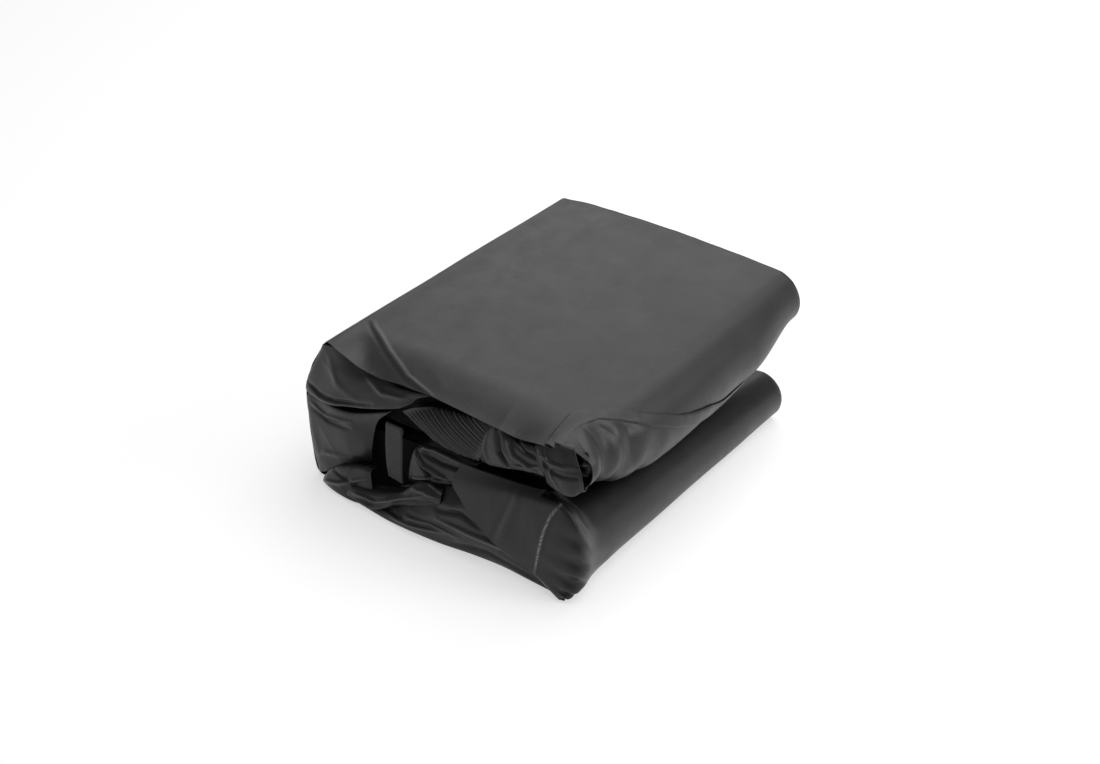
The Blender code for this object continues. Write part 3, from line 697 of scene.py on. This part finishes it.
FRONT_PIECES = (
    # name, body, replaced node, slot, rows from the floor up; each row runs from the spine toward the roll
    ("inner_folds_lower", LOWER_HALF, None, "leatherette", (
        ((18, 0.8, -6), (100, 0.8, -8), (180, 0.8, -8), (260, 0.8, -8), (346, 2, -8)),
        ((12, 28, -12), (100, 26, -15), (180, 26, -15), (260, 28, -15), (368, 26, -14)),
        ((10, 58, -12), (100, 58, -16), (180, 60, -16), (260, 62, -15), (372, 62, -14)),
        ((14, 84, -14), (100, 88, -14), (180, 96, -14), (260, 103, -14), (350, 106, -14)),
    )),
    ("inner_folds_upper", UPPER_HALF, None, "leatherette", (
        ((24, 112, -14), (100, 109, -14), (180, 112, -14), (260, 118, -14), (352, 123, -14)),
        ((32, 140, -16), (100, 136, -17), (180, 140, -17), (260, 146, -17), (370, 150, -18)),
        ((44, 174, -14), (100, 166, -14), (180, 170, -14), (260, 175, -14), (358, 179, -16)),
    )),
    ("spine_tuck_crumpled_upper", UPPER_HALF, "spine_tuck_upper", "leatherette", (
        ((9, 115, -16), (13, 116, -13), (28, 116, -9), (52, 120, -6), (72, 126, -5), (107, 139, -5),
         (142, 152, -4), (162, 164, -3)),
        ((4, 108, -14), (1.6, 108, 0), (22, 110, 7), (50, 114, 12), (70, 120, 13), (107, 132, 12),
         (143, 146, 10),
         (163, 159, 6)),
        ((7, 126, -14), (4.0, 126, 0), (27, 128, 7), (54, 133, 13), (81, 141, 13), (112, 151, 11),
         (143, 160, 8),
         (170, 167, 4)),
        ((21, 153, -14), (18, 153, 0), (36, 156, 5), (60, 157, 9), (88, 160, 9), (116, 164, 7),
         (146, 168, 5), (181, 173, 2)),
        ((37, 178, -14), (32, 180, 0), (50, 184, 2), (70, 178, 2), (94, 172, 3), (122, 171, 2), (156, 172, 1),
         (191, 178, 0)),
    )),
    ("spine_tuck_crumpled_lower", LOWER_HALF, "spine_tuck_lower", "leatherette", (
        ((13, 3, -14), (12, 3, 0), (28, 13, 6), (42, 23, 7), (58, 31, 7), (76, 40, 4), (94, 52, -2)),
        ((8, 35, -14), (4.6, 36, 0), (23, 44, 5), (44, 52, 8), (66, 62, 9), (88, 70, 6), (99, 74, 2)),
        ((5, 72, -14), (1.9, 72, -0.5), (22, 80, 3), (42, 86, 6), (66, 93, 8), (90, 101, 6), (109, 110, 3)),
        ((4, 103, -15), (1.6, 103, -1), (23, 107, 4), (47, 109, 10), (72, 112, 10), (102, 122, 8),
         (130, 134, 6)),
        ((9, 105, -18), (10, 109, -13), (26, 112, -7), (50, 113, -2), (74, 116, -1), (103, 126, -2),
         (131, 138, -3)),
    )),
    ("corner_fold_crumpled_lower", LOWER_HALF, "corner_fold_lower", "leatherette", (
        ((24, 0.8, 4), (40, 0.8, 6), (58, 0.8, 9), (80, 0.8, 10), (106, 1.5, 9)),
        ((27, 1.4, 10), (41, 2, 15), (60, 3, 19), (82, 4, 20), (107, 5, 15)),
        ((29, 7, 11), (46, 14, 15), (65, 19, 18), (86, 23, 18), (107, 26, 14)),
        ((31, 13, 8), (51, 31, 12), (68, 40, 14), (88, 47, 14), (105, 50, 13)),
        ((34, 13, -2), (53, 33, 1), (70, 42, 2), (89, 49, 3), (106, 52, 3)),
    )),
    ("middle_fold_puffed_lower", LOWER_HALF, "middle_fold_lower", "leatherette", (
        ((72, 6, 6), (110, 8, 6), (147, 24, 5), (168, 34, 5), (186, 38, 4), (199, 47, 3)),
        ((72, 3, 16), (112, 4, 18), (147, 22, 13), (166, 30, 13), (181, 36, 12), (202, 46, 11)),
        ((74, 12, 21), (111, 13, 22), (147, 32, 20), (168, 43, 20), (184, 49, 19), (206, 54, 14)),
        ((82, 23, 20), (112, 27, 19), (147, 42, 16), (168, 60, 15), (186, 68, 15), (206, 61, 12)),
        ((90, 27, 6), (113, 31, 5), (148, 43, 2), (168, 63, 3), (186, 72, 3), (203, 66, 2)),
    )),
    ("bottom_hem_folded_lower", LOWER_HALF, "front_hem_lower", "elastic_hem", (
        ((70, 0.7, 8), (111, 0.7, 12), (150, 0.7, 14), (203, 0.7, 10), (250, 0.7, 5), (286, 0.7, 1),
         (322, 0.7, 1),
         (366, 0.7, 2)),
        ((70, 1.2, 14), (113, 1.5, 19), (150, 2, 21), (202, 3, 18), (249, 5, 12), (286, 5, 9), (322, 4, 9),
         (367, 2.5, 9)),
        ((72, 4, 14), (114, 6, 19), (148, 9, 22), (199, 24, 20), (249, 33, 17), (286, 27, 13), (322, 18, 10),
         (364, 7, 8)),
        ((74, 7, 12), (116, 9, 16), (146, 14, 19), (196, 38, 18), (249, 66, 13), (284, 52, 9), (320, 38, 7),
         (356, 20, 5)),
        ((76, 18, 2), (118, 26, 1), (147, 44, 0), (196, 66, 0), (249, 76, 0), (284, 64, -1), (320, 50, -1),
         (356, 30, -2)),
    )),
    ("middle_facets_lower", LOWER_HALF, None, "leatherette", (
        ((150, 46, -5), (166, 54, -3), (188, 62, -2), (210, 70, -2), (240, 82, -4)),
        ((152, 56, 3), (168, 62, 6), (187, 70, 7), (210, 80, 5), (240, 94, 2)),
        ((155, 78, 3), (171, 84, 7), (188, 90, 7), (210, 95, 5), (242, 104, 2)),
        ((162, 99, 1), (175, 105, 4), (190, 108, 4), (214, 108, 3), (248, 114, 0)),
        ((172, 109, -8), (184, 118, -7), (198, 122, -7), (220, 120, -7), (252, 118, -7)),
    )),
    ("gathered_band_upper", UPPER_HALF, "gathered_hem_upper", "elastic_hem", (
        ((146, 138, -12), (168, 131, -11), (191, 126, -10), (218, 123, -10), (250, 123, -10)),
        ((141, 136, -3), (165, 128, -1), (190, 121, 1), (218, 118, 1), (250, 120, 0)),
        ((158, 148, -1), (182, 143, 3), (206, 140, 5), (234, 140, 5), (262, 146, 3)),
        ((184, 160, -2), (204, 163, -1), (226, 166, 0), (250, 171, 0), (276, 177, -1)),
        ((196, 164, -12), (212, 168, -11), (230, 171, -10), (252, 175, -10), (278, 181, -10)),
    )),
    ("gathered_lump_upper", UPPER_HALF, None, "leatherette", (
        ((248, 126, -12), (264, 127, -11), (292, 136, -10), (316, 143, -10), (342, 149, -8)),
        ((246, 121, -3), (262, 123, 2), (292, 131, 6), (317, 139, 8), (344, 146, 8)),
        ((250, 139, 0), (266, 143, 7), (292, 148, 11), (317, 156, 11), (343, 163, 9)),
        ((262, 167, -1), (277, 172, 4), (298, 168, 7), (318, 171, 8), (337, 175, 5)),
        ((266, 173, -11), (280, 181, -8), (298, 178, -7), (317, 177, -6), (337, 177, -5)),
    )),
    ("cuff_inner_upper", UPPER_HALF, None, "leatherette", (
        ((350, 142, -1), (368, 143, -3), (386, 147, -12)),
        ((350, 163, 1), (368, 162, -1), (389, 165, -13)),
        ((348, 179, -3), (366, 180, -5), (382, 180, -14)),
    )),
    ("front_cuff_upper", UPPER_HALF, "hem_cuff_upper", "leatherette", (
        ((346, 139, -8), (362, 139, -8), (377, 140, -8), (388, 145, -8)),
        ((346, 136, 5), (364, 135, 9), (381, 137, 10), (392, 146, 4)),
        ((347, 150, 11), (362, 151, 15), (378, 154, 15), (393, 159, 8)),
        ((340, 166, 11), (356, 166, 13), (373, 168, 12), (387, 171, 5)),
        ((331, 178, 6), (348, 181, 6), (364, 187, 5), (377, 188, 1)),
        ((333, 179, -4), (348, 182, -4), (362, 188, -5), (373, 189, -7)),
    )),
)
# Sharp folds pressed into each front piece: points (u, v), height, width
FRONT_CREASES = {
    "spine_tuck_crumpled_upper": (
        (((38, 176), (58, 146), (96, 132)), 0.8, 5.0),
        (((8, 122), (30, 119), (60, 124), (110, 140)), -2.6, 2.6),
        (((100, 168), (124, 158), (160, 163)), 1.6, 3.0),
    ),
    "spine_tuck_crumpled_lower": (
        (((10, 96), (34, 92), (74, 100)), 2.2, 2.6), (((12, 88), (36, 84), (72, 90)), -2.0, 3.0),
        (((16, 30), (30, 40), (60, 48)), 1.6, 3.0),
    ),
    "corner_fold_crumpled_lower": (
        (((30, 6), (62, 18), (100, 40)), 2.2, 2.6), (((50, 28), (76, 26), (104, 12)), -1.8, 2.6),
    ),
    "middle_fold_puffed_lower": (
        (((76, 17), (118, 19), (150, 37), (190, 59)), 2.0, 2.6),
        (((146, 30), (172, 42), (200, 50)), -3.0, 3.0),
        (((168, 58), (186, 62), (203, 58)), 1.6, 2.4), (((84, 10), (110, 12), (132, 22)), -2.0, 3.0),
    ),
    "bottom_hem_folded_lower": (
        (((206, 36), (250, 35), (292, 33), (330, 22)), 3.4, 3.0),
        (((120, 8), (170, 12), (214, 20)), 2.4, 2.2),
        (((204, 46), (236, 54), (262, 46)), -3.6, 3.0), (((226, 10), (268, 16), (330, 10)), -2.6, 3.4),
        (((160, 18), (196, 26), (232, 22)), 2.2, 2.4),
    ),
    "middle_facets_lower": (
        (((160, 100), (178, 88), (209, 82)), 4.2, 2.2), (((172, 106), (192, 110), (240, 108)), 3.0, 2.2),
        (((164, 92), (186, 78), (216, 76)), -3.0, 2.6), (((154, 60), (172, 68), (204, 84)), 2.2, 2.0),
        (((176, 101), (204, 98), (240, 100)), -3.4, 2.4),
    ),
    "gathered_lump_upper": (
        (((264, 170), (262, 148), (268, 128)), 2.2, 3.4), (((280, 174), (286, 152), (298, 136)), -4.2, 2.8),
        (((296, 168), (306, 156), (334, 148)), 3.4, 2.4), (((302, 174), (320, 166), (336, 164)), -3.0, 2.4),
        (((304, 142), (320, 148), (338, 156)), 2.4, 2.0),
    ),
    "front_cuff_upper": (
        (((338, 178), (349, 157), (361, 140)), 1.1, 1.4), (((345, 179), (357, 158), (370, 140)), 0.9, 1.3),
        (((336, 175), (356, 169), (388, 171)), 1.8, 1.8), (((340, 168), (360, 161), (390, 163)), -1.6, 2.2),
    ),
    "cuff_inner_upper": (
        (((352, 176), (366, 164), (386, 168)), 3.2, 2.6), (((356, 150), (370, 158), (388, 154)), 2.8, 2.6),
        (((360, 180), (374, 172), (380, 158)), -3.0, 2.6),
    ),
}


def add_front_folds():
    for index, (name, body, node, slot, rows) in enumerate(FRONT_PIECES):
        lines = FRONT_CREASES.get(name, ())
        pleated = name == "gathered_band_upper"

        def shift(i, j, p, lines=lines, seed=20.0 + index, pleated=pleated):
            if p.y < 2.2:
                return 0.0
            value = 2.4 * soft((p.x * 0.018, p.y * 0.021, p.z * 0.02), seed)
            value += 0.45 * ridged((p.x * 0.022, p.y * 0.028, p.z * 0.02), seed + 1, 3.0)
            value += sum(1.15 * height * crease((p.x, p.y), line, width) for line, height, width in lines)
            if pleated:
                across = 0.42 * p.x + 0.90 * p.y + 3.0 * soft((p.x * 0.02, p.y * 0.02, 0.0), seed + 2)
                value = 0.4 * value + 0.55 * math.sin(across * 2.9) + 0.5 * math.sin(across * 1.7 + 1.0)
            rim = ramp(min(i, 1 - i, 1.3 * j, 1.1 * (1 - j)), 0.0, 0.11)
            return value * ramp(p.y, 2.2, 9.0) * rim

        # Painted highlight and rubbed coating along each raised crease.
        def wear_and_highlight(p, lines=lines):
            raised = [(line, height, width) for line, height, width in lines if height > 0]
            return min(1.0, sum(0.06 * height * crease((p.x, p.y), line, 0.4 * width)
                                for line, height, width in raised))

        mat = ELASTIC if slot == "elastic_hem" else LEATHER_PAINTED_SHADE
        # The inner folds get the near-black copy: painted shadow in the cavities.
        if name.startswith("inner_folds"):
            mat = LEATHER_PAINTED_CAVITY_SHADOW
        counts = (210, 96) if pleated else (120, 84)
        piece = patch(name, rows, *counts, mat, shift, body, wear_and_highlight=wear_and_highlight)
        if node:
            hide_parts(node)


def add_rear_folds():
    """The skirt tucked in across the rear end of each half."""
    # Rows from the floor up, with d from the rear edge of the top panel
    lower = (
        ((312, 9, 6), (250, 3, 6), (150, 1, 5), (60, 1, 5), (16, 3, 6)),
        ((318, 14, -5), (252, 5, -12), (150, 3, -14), (60, 3, -13), (12, 6, -5)),
        ((322, 30, -7), (252, 32, -15), (150, 38, -17), (60, 42, -16), (6, 44, -7)),
        ((312, 46, -4), (250, 60, -11), (150, 76, -13), (60, 81, -12), (3, 82, -5)),
        ((304, 50, 6), (248, 64, 5), (150, 78, 5), (60, 83, 5), (5, 85, 4)),
    )
    upper = (
        ((330, 142, 5), (250, 126, 5), (160, 112, 5), (80, 105, 5), (10, 106, 4)),
        ((340, 146, -5), (252, 129, -12), (160, 114, -14), (80, 106, -12), (8, 108, -5)),
        ((346, 166, -6), (252, 156, -14), (160, 148, -15), (80, 142, -13), (18, 140, -6)),
        ((338, 186, -4), (252, 184, -10), (160, 182, -12), (80, 178, -10), (36, 174, -5)),
        ((332, 190, 5), (250, 187, 5), (160, 184, 5), (80, 181, 5), (42, 179, 4)),
    )
    for name, body, node, rows, seed in (
        ("rear_tuck_folded_lower", LOWER_HALF, "rear_tuck_lower", lower, 41.0),
        ("rear_tuck_folded_upper", UPPER_HALF, "rear_tuck_upper", upper, 44.0),
    ):
        under_patch = name.endswith("lower")

        def shift(i, j, p, seed=seed, under_patch=under_patch):
            calm = 1.0
            if under_patch:
                calm = ramp(max(abs(p.x - 98.7) / 24, abs(p.y - 58) / 26), 0.85, 1.5)
            value = 2.2 * soft((p.x * 0.016, p.y * 0.03, 0.0), seed)
            value += 2.2 * ridged((p.x * 0.012, p.y * 0.05, 0.0), seed + 1)
            return value * calm * ramp(p.y, 3.0, 12.0) - (1 - calm) * 0.4

        control = [[(u, v, d - LENGTH) for u, v, d in row] for row in rows]
        piece = patch(name, control, 130, 50, LEATHER_PAINTED_SHADE, shift, body)
        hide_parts(node)


# ---------------------------------------------------------------- layers folded inside each half

def section_share(u, level, slope, slope_share, end):
    """How far a stack's height has gone from its value at the spine to its value at the roll."""
    return straight([(level, 0.0), (slope, slope_share), (end, 1.0)], u)


def add_layers():
    """The lining and the skirt inside each half, folded to and fro in flat layers."""
    # Each stack is as high as at the spine up to level, and slopes most between there and slope
    level, slope = 163.7, 268.7
    layers = 4

    def lower_bounds(low_share, high_share, low_gap, high_gap):
        def bounds(u, d):
            low = lerp(85.0, lower_height(d), section_share(u, level, slope, 0.7, 334.0))
            high = lerp(85.0, lower_height(d), section_share(u, level, slope, 0.62, 334.0))
            return low * low_share + low_gap, high * high_share - high_gap
        return bounds

    def upper_bounds(low_share, high_share, low_gap, high_gap):
        def bounds(u, d):
            floor, top = upper_floor(d), UPPER_TOP + REAR_RISE * along(d)
            low_floor = lerp(102.0, floor, section_share(u, level, slope, 0.7, 344.0))
            high_floor = lerp(102.0, floor, section_share(u, level, slope, 0.62, 344.0))
            high_top = lerp(188.0, top, section_share(u, level, slope, 0.62, 344.0))
            low, high = lerp(low_floor, high_top, low_share), lerp(high_floor, high_top, high_share)
            return low + low_gap, high - high_gap
        return bounds

    stacks = (
        ("lining_layers_lower", LOWER_HALF, "lining_fold_lower", "lining", BACKING,
         lower_bounds(0.0, 0.48, 4.2, 1.0), 20.0, 338.0, "top_panel_floor"),
        ("skirt_layers_lower", LOWER_HALF, "skirt_fold_lower", "leatherette", LEATHER_PAINTED_SHADE,
         lower_bounds(0.48, 1.0, 4.0, 4.5), 20.0, 334.0, "lining_layers_lower"),
        ("skirt_layers_upper", UPPER_HALF, "skirt_fold_upper", "leatherette", LEATHER_PAINTED_SHADE,
         upper_bounds(0.0, 0.52, 5.6, 1.0), 44.0, 346.0, "lining_layers_upper"),
        ("lining_layers_upper", UPPER_HALF, "lining_fold_upper", "lining", BACKING,
         upper_bounds(0.52, 1.0, 3.0, 5.5), 46.0, 344.0, "top_panel_outer"),
    )
    for index, (name, body, node, slot, mat, bounds, left, right, under) in enumerate(stacks):
        rows = []
        for d in steps(-19.0, -LENGTH + 3, 56):
            row = []
            for layer in range(layers):
                share = (layer + 0.5) / layers
                inset = 2.0 * abs(layer - (layers - 1) / 2)
                inset += 2.0 * soft((d * 0.02, layer * 3.0, 0.0), 50.0 + index)
                places = steps(left + inset, right - inset - 4, 23)
                if layer % 2:
                    places.reverse()
                for u in places:
                    low, high = bounds(u, d)
                    ripple = soft((u * 0.03, d * 0.02, layer * 2.0), 60.0 + index)
                    level_here = lerp(low, high, share) + 0.16 * (high - low) / layers * ripple
                    row.append((u, level_here, d + 1.5 * soft((u * 0.02, layer * 4.0, 0.0), 63.0)))
                if layer < layers - 1:
                    outer = places[-1] + (4.0 if layer % 2 == 0 else -4.0)
                    low, high = bounds(places[-1], d)
                    row.append((outer, lerp(low, high, (layer + 1.0) / layers), d))
            rows.append(row)
        sheet = grid_mesh(name, rows, mat, 1.2)
        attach(sheet, body)
        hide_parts(node)


# ---------------------------------------------------------------- straps and buckles

def webbing_strip(name, body, node, line, width, thick=1.7):
    """A length of webbing along a line of (centre, across) pairs."""
    rows = []
    for centre, across in line:
        rows.append([
            tuple(c + a * share * width / 2 for c, a in zip(centre, across)) for share in steps(-1, 1, 9)
        ])
    strip = grid_mesh(name, rows, WEBBING, thick)
    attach(strip, body)
    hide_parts(node)


def box_stitch(name, centre, half_width, half_height, along_axis, up_axis, body):
    """A sewn box with a cross in it, as tie-down webbing is fixed."""
    def spot(a, b):
        return tuple(c + a * x + b * y for c, x, y in zip(centre, along_axis, up_axis))

    ring = [(-1, -1), (1, -1), (1, 1), (-1, 1), (-1, -1)]
    corners = [spot(x * half_width, y * half_height) for x, y in ring]
    runs = [(f"edge_{k}", a, b) for k, (a, b) in enumerate(zip(corners, corners[1:]))]
    runs += [("cross_0", corners[0], corners[2]), ("cross_1", corners[1], corners[3])]
    for label, a, b in runs:
        stitches(f"{name}_{label}", [mix(a, b, i / 6) for i in range(7)], body, 2.6, 1.9)


def add_tail():
    """The webbing tail turned up at the open end, with its heat-cut tip folded over."""
    centre = 134.7
    # From the floor and out of the front end: up, over the tip and a little way down behind
    path = [(47.5, 5.0), (60, 6.2), (75, 6.6), (90, 6.2), (104, 5.6), (113, 5.6), (118, 5.0), (119.6, 3.6),
            (118.5, 2.2), (111, 1.8)]
    fine = even([(v, d, 0) for v, d in path], 60)
    line = [((centre + 0.02 * (v - 80), v, d), (1.0, -0.03, 0.10 * math.sin(v * 0.05))) for v, d, _ in fine]
    webbing_strip("tail_webbing_front", "front_tail", "strap_tail_front", line, 22.0)


def add_flat_straps():
    """The three straps that lie between the halves."""
    for name in ("front", "left", "spine"):
        low, high = local_box(f"strap_{name}")
        u, v = (low[0] + high[0]) / 2, high[1]
        front, rear = low[2], high[2]
        distances = steps(front, rear, 60)
        line = [((u, v - 0.05 + 0.12 * math.sin(d * 0.07), d), (1.0, 0.0, 0.0)) for d in distances]
        body = f"webbing_{name}"
        webbing_strip(f"webbing_laid_{name}", body, f"strap_{name}", line, 25.0)
        sewn_at_front = local_box(f"buckle_{name}_frame")[0][2] < front
        sewn = front - 12 if sewn_at_front else rear + 12
        box_stitch(f"bar_tack_{name}", (u, v + 0.1, sewn), 9.0, 8.0, (1, 0, 0), (0, 0, 1), body)


def add_rear_strap():
    """The strap that hangs at the rear end, and the patch that it is sewn to."""
    low, high = local_box("strap_rear")
    u, d = (low[0] + high[0]) / 2, high[2]
    centres = [(u, v, d - 0.02 + 0.12 * math.sin(k * 0.5)) for k, v in enumerate(steps(46.3, 78.8, 40))]
    line = [(centre, (-1.0, 0.0, 0.0)) for centre in centres]
    webbing_strip("webbing_hung_rear", "webbing_rear", "strap_rear", line, 25.0)
    box_stitch("bar_tack_rear", (u, 68.0, d - 0.25), 9.0, 7.5, (1, 0, 0), (0, 1, 0), "webbing_rear")
    patch_low, patch_high = local_box("strap_patch_rear")
    middle, face = (patch_low[0] + patch_high[0]) / 2, patch_high[2]
    v0, v1 = patch_low[1], patch_high[1]
    rows = []
    for j, v in enumerate(steps(v0, v1, 25)):
        row = []
        for i, across in enumerate(steps(16, -16, 25)):
            u = middle + across
            edge = min(i, 24 - i, j, 24 - j) / 24
            rim = 0.9 * (1 - min(edge * 8, 1.0)) ** 2
            row.append((u, v, face + rim + 0.1 * soft((u * 0.2, v * 0.2, 0), 71)))
        rows.append(row)
    sewn = grid_mesh("patch_sewn_rear", rows, LEATHER, 0.9)
    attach(sewn, LOWER_HALF)
    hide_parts("strap_patch_rear")
    ring = [(-13.6, v0 + 2.4), (13.6, v0 + 2.4), (13.6, v1 - 2.4), (-13.6, v1 - 2.4), (-13.6, v0 + 2.4)]
    for k, (a, b) in enumerate(zip(ring, ring[1:])):
        start, stop = [(middle + across, up, face - 0.05) for across, up in (a, b)]
        spots = [mix(start, stop, i / 10) for i in range(11)]
        stitches(f"patch_thread_rear_{k}", spots, LOWER_HALF, 2.8, 2.0)


def dress_buckles():
    """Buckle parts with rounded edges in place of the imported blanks, to the same outline."""
    for name in ("front", "left", "spine", "rear"):
        bodies = {"frame": f"frame_{name}"}
        bodies.update({f"prong_{side}": f"prong_{name}_{side}" for side in ("left", "right")})
        for part, body in bodies.items():
            blank = bpy.data.objects[f"buckle_{name}_{part}"]
            moulding = blank.copy()
            moulding.data = blank.data.copy()
            moulding.name = f"moulded_{name}_{part}"
            moulding.data.name = moulding.name
            for key in list(moulding.keys()):
                del moulding[key]
            bpy.context.scene.collection.objects.link(moulding)
            moulding.hide_render = False
            moulding.data.materials.clear()
            moulding.data.materials.append(ACETAL)
            bm = bmesh.new()
            bm.from_mesh(moulding.data)
            bmesh.ops.remove_doubles(bm, verts=bm.verts, dist=0.00002)
            bmesh.ops.dissolve_limit(bm, angle_limit=math.radians(3), verts=bm.verts, edges=bm.edges)
            sharp = [e for e in bm.edges if len(e.link_faces) == 2 and e.calc_face_angle() > math.radians(30)]
            bmesh.ops.bevel(
                bm, geom=sharp, offset=0.0007, segments=3, profile=0.6, affect="EDGES", clamp_overlap=True,
            )
            bm.to_mesh(moulding.data)
            bm.free()
            moulding.data.shade_smooth()
            moulding.parent = None
            moulding.matrix_world = blank.matrix_world.copy()
            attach(moulding, body)
            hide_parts(blank.name)


# ---------------------------------------------------------------- stage

def add_stage():
    floor_mesh = bpy.data.meshes.new("studio_floor")
    half = 30.0
    corners = [(-half, -half, 0), (half, -half, 0), (half, half, 0), (-half, half, 0)]
    floor_mesh.from_pydata(corners, [], [(0, 1, 2, 3)])
    # A hair below the cover, so that the two faces never coincide
    floor = new_object("studio_floor", floor_mesh, (0.0, 0.0, -0.0004))
    mat, _, shader = nodes_of("studio_white")
    shader.inputs["Base Color"].default_value = (0.42, 0.42, 0.42, 1.0)
    shader.inputs["Emission Color"].default_value = (1.0, 1.0, 1.0, 1.0)
    shader.inputs["Emission Strength"].default_value = 0.57
    shader.inputs["Roughness"].default_value = 0.9
    shader.inputs["Specular IOR Level"].default_value = 0.1
    floor_mesh.materials.append(mat)

    scene = bpy.context.scene
    world = bpy.data.worlds.new("studio")
    world.use_nodes = True
    background = world.node_tree.nodes["Background"]
    background.inputs["Color"].default_value = (1.0, 1.0, 1.0, 1.0)
    background.inputs["Strength"].default_value = 0.20
    scene.world = world
    scene.view_settings.view_transform = "Standard"

    aim = Vector((0.0, 0.0, 0.1))

    def panel_light(name, place, size, watts):
        data = bpy.data.lights.new(name, "AREA")
        data.energy = watts
        data.size = size
        lamp = new_object(name, data, place)
        lamp.rotation_euler = (aim - Vector(place)).to_track_quat("-Z", "Y").to_euler()

    panel_light("overhead_soft", (0.4, 0.45, 2.6), 2.8, 78.0)
    panel_light("rear_soft", (-1.5, 2.2, 1.7), 2.0, 19.0)
    panel_light("right_soft", (2.4, 0.9, 1.5), 1.2, 27.0)


def add_camera():
    """The main view: 38 degrees round from the front end, 33 degrees above the floor."""
    data = bpy.data.cameras.new("camera")
    data.lens = 70.0
    data.sensor_width = 36.0
    data.shift_x = -0.015
    data.shift_y = -0.001
    target = at(202.7, 93.7, -209.0)
    azimuth, elevation, distance = math.radians(38), math.radians(33), 2.407
    level = math.cos(elevation)
    toward = Vector((math.sin(azimuth) * level, -math.cos(azimuth) * level, math.sin(elevation)))
    camera = new_object("camera", data, target + toward * distance)
    camera.rotation_euler = (-toward).to_track_quat("-Z", "Y").to_euler()
    bpy.context.scene.camera = camera


add_upper_panel()
add_spine()
add_lower_panel()
add_lower_wrap()
add_skirt_drape()
add_seam_band()
add_front_folds()
add_rear_folds()
add_layers()
add_tail()
add_flat_straps()
add_rear_strap()
dress_buckles()
add_stage()
add_camera()
